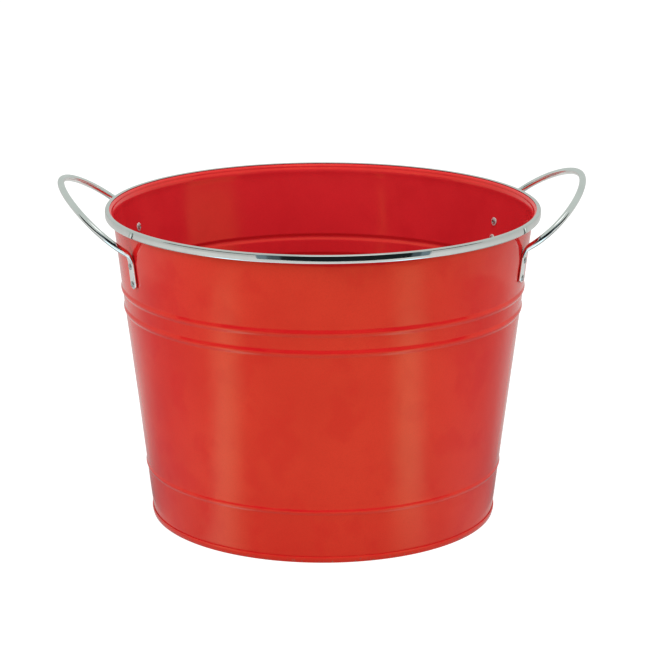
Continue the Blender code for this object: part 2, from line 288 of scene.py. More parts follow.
def bead_rise(height):
    """How far the swaged beads push the wall out at this height."""
    for middle, half_width, highest in BEADS:
        offset = abs(height - middle) / half_width
        if offset < 1.0:
            return 0.5 * highest * (1.0 + math.cos(math.pi * offset))
    return 0.0


def arc(center, radius, start, end, steps):
    """Points of an arc in an outline, from one angle to another, in degrees."""
    points = []
    for step in range(steps + 1):
        angle = math.radians(start + (end - start) * step / steps)
        points.append((center[0] + radius * math.cos(angle), center[1] + radius * math.sin(angle)))
    return points


def offset_outline(points, distance):
    """Move an open outline sideways, to the right of its direction."""
    moved = []
    for index, (x, y) in enumerate(points):
        before = points[max(index - 1, 0)]
        after = points[min(index + 1, len(points) - 1)]
        run = Vector((after[0] - before[0], after[1] - before[1])).normalized()
        moved.append((x + run.y * distance, y - run.x * distance))
    return moved


def curl_center():
    """Radius and height of the rim wire's middle."""
    inset = CHANNEL_SHEET + 2.0 * GAP + SHEET + WIRE_RADIUS
    return RIM_RADIUS - inset, HEIGHT - inset


def wall_heights():
    """Heights of the wall's rows up to the flare: close together in the beads."""
    top = HEIGHT - FLARE_HEIGHT
    heights = {WALL_BOTTOM, top}
    for middle, half_width, _ in BEADS:
        for step in range(-BEAD_STEPS, BEAD_STEPS + 1):
            heights.add(middle + half_width * step / BEAD_STEPS)
    count = int((top - WALL_BOTTOM) / PLAIN_STEP)
    for step in range(1, count):
        height = WALL_BOTTOM + (top - WALL_BOTTOM) * step / count
        if all(abs(height - middle) > half_width for middle, half_width, _ in BEADS):
            heights.add(height)
    return sorted(heights)


def neck_share(share):
    """Outward run of the neck below the rim, where the wall's slope eases to upright."""
    share = min(share, NECK_SHARE)
    return share - 0.5 * share * share / NECK_SHARE


def wall_path():
    """Inner face of the wall from its foot to the flare, then over and down the curl."""
    inset = SHEET / math.cos(WALL_TILT)
    points = [(wall_radius(z) + bead_rise(z) - inset, z) for z in wall_heights()]
    center = curl_center()
    curl_radius = WIRE_RADIUS + GAP + SHEET
    start_radius, start_height = points[-1]
    rise = center[1] - start_height
    flare = center[0] - curl_radius - start_radius - TAPER * rise * neck_share(1.0)
    for step in range(1, FLARE_ROWS + 1):
        share = step / FLARE_ROWS
        lip = max(share - NECK_SHARE, 0.0) / (1.0 - NECK_SHARE)
        radius = start_radius + TAPER * rise * neck_share(share) + flare * lip ** FLARE_POWER
        points.append((radius, start_height + rise * share))
    points += arc(center, curl_radius, 180.0, 0.0, 16)[1:]
    bottom = HEIGHT - CHANNEL_HEIGHT + CHANNEL_SHEET + GAP
    points.append((center[0] + curl_radius, bottom))
    return points


def closed_sheet(path, thickness):
    """Closed outline of a sheet whose visible face follows the path."""
    return path + list(reversed(offset_outline(path, thickness)))


def channel_outline():
    """Section of the bright channel, with rounded corners and a slightly crowned outer face."""
    top = HEIGHT
    bottom = HEIGHT - CHANNEL_HEIGHT
    corner = CHANNEL_CORNER
    middle = 0.5 * (top + bottom)
    face = RIM_RADIUS - CHANNEL_CROWN
    inner_corner = corner - CHANNEL_SHEET
    inner_edge = CHANNEL_INNER_RADIUS + CHANNEL_EDGE
    inner_lip = CHANNEL_INNER_RADIUS + CHANNEL_LIP
    points = arc((inner_edge, top - CHANNEL_EDGE), CHANNEL_EDGE, 180.0, 90.0, 4)
    points += arc((face - corner, top - corner), corner, 90.0, 0.0, 10)
    half = 0.5 * CHANNEL_HEIGHT - corner
    for step in (-0.6, -0.3, 0.0, 0.3, 0.6):
        points.append((face + CHANNEL_CROWN * (1.0 - step * step), middle - step * half))
    points += arc((face - corner, bottom + corner), corner, 0.0, -90.0, 10)
    points += arc((inner_edge, bottom + CHANNEL_EDGE), CHANNEL_EDGE, 270.0, 180.0, 4)
    points.append((inner_lip, bottom + CHANNEL_SHEET))
    points += arc((face - corner, bottom + corner), inner_corner, -90.0, 0.0, 5)
    points += arc((face - corner, top - corner), inner_corner, 0.0, 90.0, 5)
    points.append((inner_lip, top - CHANNEL_SHEET))
    return points


def floor_path():
    """Outer and under face of the floor sheet: fold, foot ring, inside of the foot, middle."""
    fold_top = FOOT_FOLD_HEIGHT
    outset = FLOOR_SHEET + CONTACT
    outer_top = wall_radius(fold_top) + outset
    outer_foot = wall_radius(0.0) + outset
    inner = FOOT_WALL_RADIUS - SHEET - FLOOR_SHEET - CONTACT
    corner = FOOT_CORNER
    bend = FOOT_BEND
    points = []
    for step in range(FOLD_ROWS):
        share = step / FOLD_ROWS
        height = fold_top - HEM_ROUND + (corner - fold_top + HEM_ROUND) * share
        bulge = FOLD_BULGE * math.sin(math.pi * share)
        points.append((outer_top + (outer_foot - outer_top) * share + bulge, height))
    points += arc((outer_foot - corner, corner), corner, 0.0, -90.0, 6)
    points += arc((inner + corner, corner), corner, -90.0, -180.0, 6)
    points += arc((inner - bend, FLOOR_RISE - bend), bend, 0.0, 90.0, 6)
    for step in range(1, FLOOR_ROWS + 1):
        points.append(((inner - bend) * (1.0 - step / FLOOR_ROWS), FLOOR_RISE))
    return points


# ---------------------------------------------------------------- mesh building

def ring_angles():
    """Angles of the rings' corners: even, and closer together across the side seam."""
    seam_half = 0.5 * SEAM_WIDTH / wall_radius(0.5 * HEIGHT)
    edge = SEAM_EDGE / wall_radius(0.5 * HEIGHT)
    angles = [2.0 * math.pi * step / RING_SEGMENTS for step in range(RING_SEGMENTS)]
    angles = [angle for angle in angles if abs(angle - SEAM_AZIMUTH) > seam_half + 2.0 * edge]
    for side in (-1.0, 1.0):
        for share in (-1.0, -0.5, 0.0, 0.5, 1.0):
            angles.append(SEAM_AZIMUTH + side * (seam_half + share * edge))
    for share in (-0.6, CREASE_PLACE, -0.44, 0.0, 0.5):
        angles.append(SEAM_AZIMUTH + share * seam_half)
    return sorted(angles)


def revolve(name, outline, angles, shift=None, closed=True):
    """Turn an outline round Z. shift(row, radius, height, angle) moves a point outward."""
    vertices = []
    rows = []
    for row, (radius, height) in enumerate(outline):
        if radius < 1e-6:
            rows.append([len(vertices)])
            vertices.append((0.0, 0.0, height))
            continue
        rows.append(list(range(len(vertices), len(vertices) + len(angles))))
        for angle in angles:
            moved = radius + (shift(row, radius, height, angle) if shift else 0.0)
            vertices.append((moved * math.cos(angle), moved * math.sin(angle), height))
    faces = []
    pairs = list(zip(rows, rows[1:]))
    if closed:
        pairs.append((rows[-1], rows[0]))
    count = len(angles)
    for first, second in pairs:
        for corner in range(count):
            after = (corner + 1) % count
            face = [first[corner % len(first)], second[corner % len(second)]]
            if len(second) > 1:
                face.append(second[after])
            if len(first) > 1:
                face.append(first[after])
            if len(face) > 2:
                faces.append(face)
    mesh = bpy.data.meshes.new(name)
    mesh.from_pydata(vertices, [], faces)
    mesh.update()
    mesh.shade_smooth()
    return mesh


def add_piece(name, mesh, node, slot, *materials):
    """Show a detailed mesh in place of its CAD node, on the bucket's one body."""
    for material in materials:
        mesh.materials.append(material)
    piece = bpy.data.objects.new(name, mesh)
    bpy.context.scene.collection.objects.link(piece)
    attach(piece, "root")
    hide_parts(node)
    return piece


def smoothstep(value):
    """Ease from 0 to 1."""
    value = min(max(value, 0.0), 1.0)
    return value * value * (3.0 - 2.0 * value)


# ---------------------------------------------------------------- wall

def seam_lift(angle, height):
    """How far the lock seam stands out of the wall here."""
    across = abs(angle - SEAM_AZIMUTH) * wall_radius(height) / (0.5 * SEAM_WIDTH)
    edge = SEAM_EDGE / (0.5 * SEAM_WIDTH)
    lift = SEAM_HEIGHT * (1.0 - smoothstep((across - 1.0 + 0.5 * edge) / edge))
    fold = (angle - SEAM_AZIMUTH) * wall_radius(height) / (0.5 * SEAM_WIDTH) - CREASE_PLACE
    crease = CREASE_DEPTH * SEAM_HEIGHT * math.exp(-(fold / CREASE_WIDTH) ** 2)
    foot = smoothstep((height - FOOT_FOLD_HEIGHT) / SEAM_FOOT_FADE)
    top = smoothstep((HEIGHT - FLARE_HEIGHT - height) / SEAM_TOP_FADE)
    return max(lift - crease, 0.0) * foot * top


def sheet_waves(angle, height):
    """Slight unevenness of the rolled sheet, fading out towards the foot and the rim."""
    x = math.cos(angle)
    y = math.sin(angle)
    broad = noise.noise(Vector((3.1 * x, 3.1 * y, 14.0 * height)))
    small = noise.noise(Vector((9.0 * x + 5.0, 9.0 * y, 42.0 * height)))
    foot = smoothstep((height - WAVE_FOOT) / WAVE_FADE)
    top = smoothstep((HEIGHT - FLARE_HEIGHT - height) / WAVE_FADE)
    return (BROAD_WAVE * broad + SMALL_WAVE * small) * foot * top


def make_wall(outside, inside):
    """The tapered wall: one closed sheet with beads, flare, curl and lock seam."""
    path = wall_path()
    outline = closed_sheet(path, SHEET)
    inner_rows = len(path)

    def shift(row, radius, height, angle):
        if height > HEIGHT - FLARE_HEIGHT:
            return 0.0
        outward = seam_lift(angle, height) if row >= inner_rows else 0.0
        return outward + sheet_waves(angle, height)

    mesh = revolve("bucket_wall", outline, ring_angles(), shift)
    # The inner face takes the darker red of the inside, painted shade of the bucket's inside
    mesh.materials.append(outside)
    mesh.materials.append(inside)
    corners = len(ring_angles())
    for index, face in enumerate(mesh.polygons):
        face.material_index = 1 if index // corners < inner_rows - 1 else 0
    return add_piece("bucket_wall", mesh, "wall", "wall_enamel")


# ---------------------------------------------------------------- floor, rim and wire

def make_floor(outside, inside):
    """Pressed floor with its edge folded round the wall's foot."""
    path = floor_path()
    hem = (path[0][0] - 0.5 * FLOOR_SHEET, path[0][1])
    outline = list(reversed(offset_outline(path, FLOOR_SHEET)))
    outline += arc(hem, 0.5 * FLOOR_SHEET, 180.0, 0.0, 8)[1:-1] + path
    mesh = revolve("bucket_floor", outline, ring_angles(), closed=False)
    mesh.materials.append(outside)
    mesh.materials.append(inside)
    # The floor's top takes the darker red of the inside, painted shade of the bucket's inside
    for face in mesh.polygons:
        if face.center.z > FLOOR_RISE + 0.5 * FLOOR_SHEET:
            face.material_index = 1
    return add_piece("bucket_floor", mesh, "floor", "floor_enamel")


def make_channel(material):
    """Bright channel over the rim, very slightly uneven as rolled strip is."""
    def shift(row, radius, height, angle):
        ripple = noise.noise(Vector((9.0 * math.cos(angle), 9.0 * math.sin(angle), 40.0 * height)))
        return -CHANNEL_RIPPLE * (1.0 + ripple)

    mesh = revolve("rim_channel", channel_outline(), ring_angles(), shift)
    return add_piece("rim_channel", mesh, "rim_trim", "rim_chrome", material)


# ---------------------------------------------------------------- handles

def tab_directions():
    """Radial, across, outward and upward unit vectors of the wall behind a back tab."""
    azimuth = math.asin(LEG_HALF_SPACING / wall_radius(HEIGHT - CORNER_DEPTH))
    radial = Vector((math.cos(azimuth), math.sin(azimuth), 0.0))
    across = Vector((-math.sin(azimuth), math.cos(azimuth), 0.0))
    up = Vector((0.0, 0.0, 1.0))
    outward = radial * math.cos(WALL_TILT) - up * math.sin(WALL_TILT)
    upward = radial * math.sin(WALL_TILT) + up * math.cos(WALL_TILT)
    return radial, across, outward, upward


def wall_point(depth):
    """Point of the wall's outer face behind a back tab, this far below the rim."""
    height = HEIGHT - depth
    return tab_directions()[0] * wall_radius(height) + Vector((0.0, 0.0, height))


def bezier(points, t):
    """Point of a Bezier curve through de Casteljau's construction."""
    while len(points) > 1:
        points = [first.lerp(second, t) for first, second in zip(points, points[1:])]
    return points[0]


def handle_stations():
    """Middle line of half a handle: point, flat width, flat thickness and roundness."""
    _, _, outward, upward = tab_directions()
    lift = outward * (GAP + TAB_THICKNESS / 2.0)
    end = wall_point(TAB_END_DEPTH) + lift
    corner = wall_point(CORNER_DEPTH) + lift
    tab_length = (corner - end).length - BEND_LENGTH
    end_radius = TAB_WIDTH / 2.0
    stations = []
    for step in range(1, TIP_STATIONS + 1):
        angle = 0.5 * math.pi * step / TIP_STATIONS
        distance = end_radius * (1.0 - math.cos(angle))
        fullness = min(1.0, 2.0 * math.sin(angle))
        thickness = TAB_THICKNESS * (TIP_THICKNESS + (1.0 - TIP_THICKNESS) * fullness)
        stations.append((end + upward * distance, TAB_WIDTH * math.sin(angle), thickness, 0.0))
    for step in range(1, TAB_STATIONS + 1):
        distance = end_radius + (tab_length - end_radius) * step / TAB_STATIONS
        stations.append((end + upward * distance, TAB_WIDTH, TAB_THICKNESS, 0.0))
    slope = Vector((math.cos(LOOP_TILT), 0.0, math.sin(LOOP_TILT)))
    sideways = Vector((0.0, 1.0, 0.0))
    middle = Vector((corner.x, 0.0, corner.z)) + slope * LOOP_REACH
    leg = slope * math.cos(LEG_SPLAY) + sideways * math.sin(LEG_SPLAY)
    loop = [corner, corner + leg * LEG_PULL, middle + sideways * GRIP_PULL, middle]
    leave = BEND_LENGTH / (3.0 * LEG_PULL)
    bend = [corner - upward * BEND_LENGTH, corner, bezier(loop, leave)]
    for step in range(1, BEND_STATIONS + 1):
        t = step / BEND_STATIONS
        stations.append((bezier(bend, t), TAB_WIDTH, TAB_THICKNESS, smoothstep(BEND_ROUNDNESS * t)))
    start = smoothstep(BEND_ROUNDNESS)
    for step in range(1, LOOP_STATIONS + 1):
        t = leave + (1.0 - leave) * step / LOOP_STATIONS
        roundness = start + (1.0 - start) * smoothstep(step / ROUNDING_STATIONS)
        stations.append((bezier(loop, t), TAB_WIDTH, TAB_THICKNESS, roundness))
    return stations


def section_ring(point, across, outward, width, thickness, exponent):
    """Corners of one section, from a rounded flat to a round rod."""
    ring = []
    for side in range(ROD_SIDES):
        angle = 2.0 * math.pi * side / ROD_SIDES
        along = math.copysign(abs(math.cos(angle)) ** (2.0 / exponent), math.cos(angle))
        out = math.copysign(abs(math.sin(angle)) ** (2.0 / exponent), math.sin(angle))
        ring.append(point + across * (along * width / 2.0) + outward * (out * thickness / 2.0))
    return ring


def handle_rings():
    """Sections of a whole handle, from one tab's end over the grip to the other."""
    stations = handle_stations()
    _, across, outward, tangent = tab_directions()
    points = [station[0] for station in stations]
    rings = []
    for index, (point, flat_width, flat_thickness, roundness) in enumerate(stations):
        turned = tangent
        if index == len(stations) - 1:
            turned = Vector((0.0, -1.0, 0.0))
        elif index > 0:
            turned = (points[index + 1] - points[index - 1]).normalized()
        turn = tangent.rotation_difference(turned)
        across = turn @ across
        outward = turn @ outward
        tangent = turned
        width = flat_width + (2.0 * ROD_RADIUS - flat_width) * roundness
        thickness = flat_thickness + (2.0 * ROD_RADIUS - flat_thickness) * roundness
        exponent = FLAT_EXPONENT + (ROUND_EXPONENT - FLAT_EXPONENT) * roundness
        rings.append(section_ring(point, across, outward, width, thickness, exponent))
    rings[-1] = [Vector((corner.x, 0.0, corner.z)) for corner in rings[-1]]
    mirrored = [[Vector((corner.x, -corner.y, corner.z)) for corner in ring] for ring in rings[-2::-1]]
    return rings + mirrored


def handle_mesh(name, turn):
    """Closed loft of a handle, turned to its side of the bucket."""
    rings = handle_rings()
    vertices = [corner for ring in rings for corner in ring]
    faces = []
    for row in range(len(rings) - 1):
        for side in range(ROD_SIDES):
            after = (side + 1) % ROD_SIDES
            low = row * ROD_SIDES
            high = low + ROD_SIDES
            faces.append((low + side, low + after, high + after, high + side))
    last = (len(rings) - 1) * ROD_SIDES
    faces.append(tuple(reversed(range(ROD_SIDES))))
    faces.append(tuple(range(last, last + ROD_SIDES)))
    mesh = bpy.data.meshes.new(name)
    mesh.from_pydata(vertices, [], faces)
    mesh.transform(Matrix.Rotation(turn, 4, "Z"))
    mesh.shade_smooth()
    return mesh


# ---------------------------------------------------------------- fasteners

def rivet_frame(turn, end, depth):
    """Matrix of a rivet: its Z points out of the wall, its origin is on the wall's outer face."""
    outward = tab_directions()[2]
    place = Matrix.Translation(wall_point(depth)) @ outward.to_track_quat("Z", "Y").to_matrix().to_4x4()
    if end < 0.0:
        flip = Matrix.Diagonal((1.0, -1.0, 1.0, 1.0))
        place = flip @ place @ flip
    return Matrix.Rotation(turn, 4, "Z") @ place


def rivet_outline():
    """Half section of a clinched tubular rivet: domed head, shank, rolled end and bore."""
    seat = GAP + TAB_THICKNESS - CONTACT
    clinch = -SHEET - WASHER_THICKNESS
    points = [(0.0, seat + HEAD_HEIGHT)]
    for step in range(1, HEAD_ROWS + 1):
        angle = 0.5 * math.pi * step / HEAD_ROWS
        dome = HEAD_RIM_SHARE + (1.0 - HEAD_RIM_SHARE) * math.cos(angle)
        points.append((HEAD_RADIUS * math.sin(angle), seat + HEAD_HEIGHT * dome))
    points += [(HEAD_RADIUS, seat), (SHANK_RADIUS, seat), (SHANK_RADIUS, clinch)]
    roll = 0.5 * (CLINCH_RADIUS - RIVET_BORE_RADIUS)
    center = (RIVET_BORE_RADIUS + roll, clinch - CLINCH_HEIGHT + roll)
    points.append((CLINCH_RADIUS, clinch))
    points += arc(center, roll, 0.0, -180.0, 10)
    wall_depth, point_depth = RIVET_BORE_DEPTHS
    points += [(RIVET_BORE_RADIUS, clinch + wall_depth), (0.0, clinch + point_depth)]
    return points


def washer_outline():
    """Section of the washer under a rivet's rolled end, with broken edges."""
    top = -SHEET - 0.5 * CONTACT
    bottom = top - WASHER_THICKNESS
    bevel = WASHER_BEVEL
    return [
        (SHANK_RADIUS, top),
        (WASHER_RADIUS - bevel, top),
        (WASHER_RADIUS, top - bevel),
        (WASHER_RADIUS, bottom + bevel),
        (WASHER_RADIUS - bevel, bottom),
        (SHANK_RADIUS, bottom),
    ]


def make_fasteners(rivet_material, washer_material):
    """Rivets and washers of both handles, each in place of its own CAD node."""
    angles = [2.0 * math.pi * step / FASTENER_SEGMENTS for step in range(FASTENER_SEGMENTS)]
    kinds = (
        ("rivet", "rivet_steel", rivet_outline(), rivet_material, False),
        ("washer", "washer_steel", washer_outline(), washer_material, True),
    )
    for side_name, turn, facing in SIDES:
        for end_name, end in ENDS:
            for level, depth in RIVET_DEPTHS:
                for kind, slot, outline, material, closed in kinds:
                    node = "_".join((kind, side_name, end_name, level))
                    mesh = revolve("fine_" + node, outline, angles, closed=closed)
                    mesh.transform(rivet_frame(turn, end * facing, depth))
                    add_piece("fine_" + node, mesh, node, slot, material)


# ---------------------------------------------------------------- materials

class Graph:
    """Short calls for building one Principled material."""

    def __init__(self, name):
        self.material = bpy.data.materials.new(name)
        self.material.use_nodes = True
        self.tree = self.material.node_tree
        self.shader = self.tree.nodes["Principled BSDF"]
        self.place = self.add("ShaderNodeTexCoord").outputs["Object"]

    def add(self, kind, **settings):
        """A new node with its settings."""
        node = self.tree.nodes.new(kind)
        for key, value in settings.items():
            setattr(node, key, value)
        return node

    def link(self, source, target):
        """Join two sockets."""
        self.tree.links.new(source, target)

    def noise(self, scale, detail=2.0, stretch=(1.0, 1.0, 1.0)):
        """Noise value at a scale in cells per metre, optionally stretched."""
        mapping = self.add("ShaderNodeMapping")
        mapping.inputs["Scale"].default_value = stretch
        self.link(self.place, mapping.inputs["Vector"])
        texture = self.add("ShaderNodeTexNoise")
        texture.inputs["Scale"].default_value = scale
        texture.inputs["Detail"].default_value = detail
        self.link(mapping.outputs["Vector"], texture.inputs["Vector"])
        return texture.outputs["Fac"]

    def ramp(self, value, low, high, to_low=0.0, to_high=1.0):
        """Value mapped from one range to another, held at the ends."""
        node = self.add("ShaderNodeMapRange", interpolation_type="SMOOTHSTEP")
        node.inputs["From Min"].default_value = low
        node.inputs["From Max"].default_value = high
        node.inputs["To Min"].default_value = to_low
        node.inputs["To Max"].default_value = to_high
        self.link(value, node.inputs["Value"])
        return node.outputs["Result"]

    def math(self, operation, first, second):
        """Sum, product or another operation of two values or sockets."""
        node = self.add("ShaderNodeMath", operation=operation)
        for socket, value in zip(node.inputs, (first, second)):
            if isinstance(value, (int, float)):
                socket.default_value = value
            else:
                self.link(value, socket)
        return node.outputs["Value"]

    def mix(self, factor, first, second):
        """Colour between two, each a colour or a socket."""
        node = self.add("ShaderNodeMix", data_type="RGBA")
        self.link(factor, node.inputs["Factor"])
        for key, value in (("A", first), ("B", second)):
            socket = [one for one in node.inputs if one.name == key and one.type == "RGBA"][0]
            if isinstance(value, tuple):
                socket.default_value = (*value, 1.0)
            else:
                self.link(value, socket)
        return [one for one in node.outputs if one.type == "RGBA"][0]

    def bump(self, height, distance, strength=1.0, normal=None):
        """Bump from a height of 0 to 1, distance metres deep."""
        node = self.add("ShaderNodeBump")
        node.inputs["Distance"].default_value = distance
        node.inputs["Strength"].default_value = strength
        self.link(height, node.inputs["Height"])
        if normal is not None:
            self.link(normal, node.inputs["Normal"])
        return node.outputs["Normal"]

    def height(self):
        """Height above the ground."""
        node = self.add("ShaderNodeSeparateXYZ")
        self.link(self.place, node.inputs["Vector"])
        return node.outputs["Z"]

    def finish(self, color, roughness, normal, metallic=0.0, specular=0.5, tint=WHITE):
        """Connect the shader and return the material."""
        self.link(color, self.shader.inputs["Base Color"])
        self.link(roughness, self.shader.inputs["Roughness"])
        self.link(normal, self.shader.inputs["Normal"])
        self.shader.inputs["Metallic"].default_value = metallic
        self.shader.inputs["Specular IOR Level"].default_value = specular
        self.shader.inputs["Specular Tint"].default_value = (*tint, 1.0)
        return self.material


def enamel(name, deep, light, blotch, smooth, dull, specular):
    """Baked red enamel: clouding, orange peel, fine rubbing and a few chips at the foot."""
    graph = Graph(name)
    clouds = graph.ramp(graph.noise(16.0, 3.0), 0.30, 0.70)
    color = graph.mix(clouds, deep, light)
    blotches = graph.ramp(graph.noise(34.0, 4.0, (1.0, 1.0, 0.8)), 0.48, 0.64, 0.0, 0.58)
    color = graph.mix(blotches, color, blotch)
    grain = graph.ramp(graph.noise(900.0, 2.0), 0.35, 0.75, 0.0, 0.25)
    color = graph.mix(grain, color, tuple(0.80 * channel for channel in deep))
    foot = graph.ramp(graph.height(), 0.0008, 0.0042, 1.0, 0.0)
    chips = graph.math("MULTIPLY", foot, graph.ramp(graph.noise(420.0, 5.0), 0.60, 0.66))
    color = graph.mix(chips, color, CHIP_COLOR)
    rubbing = graph.noise(1.0, 4.0, (28.0, 28.0, 900.0))
    patches = graph.ramp(graph.noise(42.0, 4.0), 0.30, 0.75, smooth, dull)
    roughness = graph.math("ADD", patches, graph.ramp(rubbing, 0.45, 0.80, 0.0, 0.07))
    roughness = graph.math("ADD", roughness, graph.math("MULTIPLY", chips, 0.3))
    normal = graph.bump(graph.noise(30.0, 2.0), 0.00035, 0.45)
    normal = graph.bump(graph.noise(480.0, 1.0), 0.000018, 0.8, normal)
    return graph.finish(color, roughness, normal, 0.0, specular, ENAMEL_TINT)


def chrome(name, color, smooth, dull, ripple):
    """Bright plate over polished steel: faint clouding, haze, wipe marks and a soft ripple."""
    graph = Graph(name)
    tint = tuple(0.93 * channel for channel in color)
    base = graph.mix(graph.ramp(graph.noise(55.0, 3.0), 0.3, 0.7), color, tint)
    pits = graph.ramp(graph.noise(1500.0, 2.0), 0.72, 0.80)
    base = graph.mix(pits, base, tuple(0.55 * channel for channel in color))
    haze = graph.ramp(graph.noise(90.0, 5.0), 0.35, 0.75, smooth, dull)
    wipes = graph.ramp(graph.noise(1.0, 3.0, (220.0, 220.0, 2400.0)), 0.55, 0.80, 0.0, 0.05)
    roughness = graph.math("ADD", haze, wipes)
    normal = graph.bump(graph.noise(60.0, 2.0), ripple, 0.6)
    normal = graph.bump(graph.noise(1100.0, 2.0), 0.000004, 0.6, normal)
    return graph.finish(base, roughness, normal, 1.0)


def plated_steel(name, color, smooth, dull, metallic):
    """Zinc-plated steel: spangled tone, satin roughness and small tool marks."""
    graph = Graph(name)
    dark = tuple(0.70 * channel for channel in color)
    base = graph.mix(graph.ramp(graph.noise(700.0, 4.0), 0.30, 0.75), color, dark)
    roughness = graph.ramp(graph.noise(500.0, 3.0), 0.30, 0.70, smooth, dull)
    normal = graph.bump(graph.noise(1300.0, 3.0), 0.00003, 0.7)
    return graph.finish(base, roughness, normal, metallic)


def drawn_wire(name):
    """Plain wire with marks of drawing along it."""
    graph = Graph(name)
    streaks = graph.noise(1.0, 3.0, (90.0, 90.0, 3000.0))
    base = graph.mix(graph.ramp(streaks, 0.3, 0.7), (0.40, 0.40, 0.39), (0.26, 0.25, 0.24))
    roughness = graph.ramp(streaks, 0.3, 0.7, 0.38, 0.55)
    normal = graph.bump(streaks, 0.00003, 0.8)
    return graph.finish(base, roughness, normal, 1.0)


# ---------------------------------------------------------------- studio

def emitter(name, color, strength, inward=False):
    """Plain glowing surface for the studio; an inward one is clear from its outer side."""
    material = bpy.data.materials.new(name)
    material.use_nodes = True
    tree = material.node_tree
    tree.nodes.remove(tree.nodes["Principled BSDF"])
    glow = tree.nodes.new("ShaderNodeEmission")
    glow.inputs["Color"].default_value = (*color, 1.0)
    glow.inputs["Strength"].default_value = strength
    surface = tree.nodes["Material Output"].inputs["Surface"]
    tree.links.new(glow.outputs["Emission"], surface)
    if inward:
        clear = tree.nodes.new("ShaderNodeBsdfTransparent")
        side = tree.nodes.new("ShaderNodeNewGeometry")
        mix = tree.nodes.new("ShaderNodeMixShader")
        tree.links.new(side.outputs["Backfacing"], mix.inputs["Fac"])
        tree.links.new(clear.outputs["BSDF"], mix.inputs[1])
        tree.links.new(glow.outputs["Emission"], mix.inputs[2])
        tree.links.new(mix.outputs["Shader"], surface)
    return material


def studio_point(azimuth, distance, height):
    """Point of the studio: azimuth 0 is towards the camera, positive to its right."""
    angle = math.radians(azimuth) - 0.5 * math.pi + TURN
    return Vector((distance * math.cos(angle), distance * math.sin(angle), height))


def reflection_only(name, mesh):
    """Put a studio mesh in the scene so that it is seen only in reflections."""
    card = bpy.data.objects.new(name, mesh)
    bpy.context.scene.collection.objects.link(card)
    card.visible_camera = False
    card.visible_diffuse = False
    card.visible_shadow = False
    card.visible_transmission = False


def reflection_card(name, corners, material):
    """Flat card that is seen only in reflections."""
    mesh = bpy.data.meshes.new(name)
    mesh.from_pydata(corners, [], [tuple(range(len(corners)))])
    mesh.materials.append(material)
    reflection_only(name, mesh)


def mirrored_ground(offset, share):
    """Azimuth in degrees and distance of the ground that the wall mirrors towards the camera.

    offset is the sideways place on the wall, share the height as a part of the bucket's height.
    The camera is taken as far off, so that its rays run side by side.
    """
    height = HEIGHT * share
    radius = wall_radius(height)
    facing = math.asin(offset / radius)
    reach = height / math.tan(CAMERA_ELEVATION + 2.0 * WALL_TILT)
    ahead = radius * math.cos(facing) + reach * math.cos(2.0 * facing)
    aside = offset + reach * math.sin(2.0 * facing)
    return math.degrees(math.atan2(aside, ahead)), math.hypot(aside, ahead)


def band_density(share, foot, middle, top):
    """Density of a strip along the band, eased from its foot to its middle and on to its top."""
    low = (foot - middle) * (1.0 - smoothstep(share / BAND_FOOT_FADE))
    high = (top - middle) * smoothstep((share - BAND_TOP_START) / (BAND_END - BAND_TOP_START))
    return middle + low + high


def glow_strip(name, band, turned, half_width, height, strength=GLOW_STRENGTH):
    """Soft strip lying on the ground, bright or dim, seen only in reflections.

    It follows the ground that the wall mirrors in the band, turned about the bucket's axis by an
    angle in degrees, and fades out to both sides.
    """
    offset, *densities = band
    vertices = []
    glow = []
    for row in range(BAND_ROWS + 1):
        part = BAND_START + (BAND_END - BAND_START) * row / BAND_ROWS
        azimuth, distance = mirrored_ground(offset, part)
        density = band_density(part, *densities)
        for column in range(-GLOW_COLUMNS, GLOW_COLUMNS + 1):
            share = column / GLOW_COLUMNS
            vertices.append(studio_point(azimuth + turned + half_width * share, distance, height))
            glow.append(density * (1.0 - share * share) ** 3)
    width = 2 * GLOW_COLUMNS + 1
    faces = []
    for row in range(BAND_ROWS):
        for column in range(width - 1):
            first = row * width + column
            faces.append((first, first + 1, first + 1 + width, first + width))
    mesh = bpy.data.meshes.new(name)
    mesh.from_pydata(vertices, [], faces)
    mesh.attributes.new("glow", "FLOAT", "POINT").data.foreach_set("value", glow)
    material = bpy.data.materials.new(name)
    material.use_nodes = True
    tree = material.node_tree
    tree.nodes.remove(tree.nodes["Principled BSDF"])
    amount = tree.nodes.new("ShaderNodeAttribute")
    amount.attribute_name = "glow"
    clear = tree.nodes.new("ShaderNodeBsdfTransparent")
    light = tree.nodes.new("ShaderNodeEmission")
    light.inputs["Color"].default_value = (*GLOW_COLOR, 1.0)
    light.inputs["Strength"].default_value = strength
    blend = tree.nodes.new("ShaderNodeMixShader")
    tree.links.new(amount.outputs["Fac"], blend.inputs["Fac"])
    tree.links.new(clear.outputs["BSDF"], blend.inputs[1])
    tree.links.new(light.outputs["Emission"], blend.inputs[2])
    tree.links.new(blend.outputs["Shader"], tree.nodes["Material Output"].inputs["Surface"])
    mesh.materials.append(material)
    reflection_only(name, mesh)


def dark_ring(material):
    """Dark band of room round the studio, low above the horizon, open behind the bucket."""
    vertices = []
    for step in range(RING_STEPS + 1):
        azimuth = RING_REACH * (2.0 * step / RING_STEPS - 1.0)
        vertices.append(studio_point(azimuth, RING_DISTANCE, RING_BOTTOM))
        vertices.append(studio_point(azimuth, RING_DISTANCE, RING_TOP))
    faces = [(2 * step, 2 * step + 2, 2 * step + 3, 2 * step + 1) for step in range(RING_STEPS)]
    mesh = bpy.data.meshes.new("dark_ring")
    mesh.from_pydata(vertices, [], faces)
    mesh.materials.append(material)
    reflection_only("dark_ring", mesh)


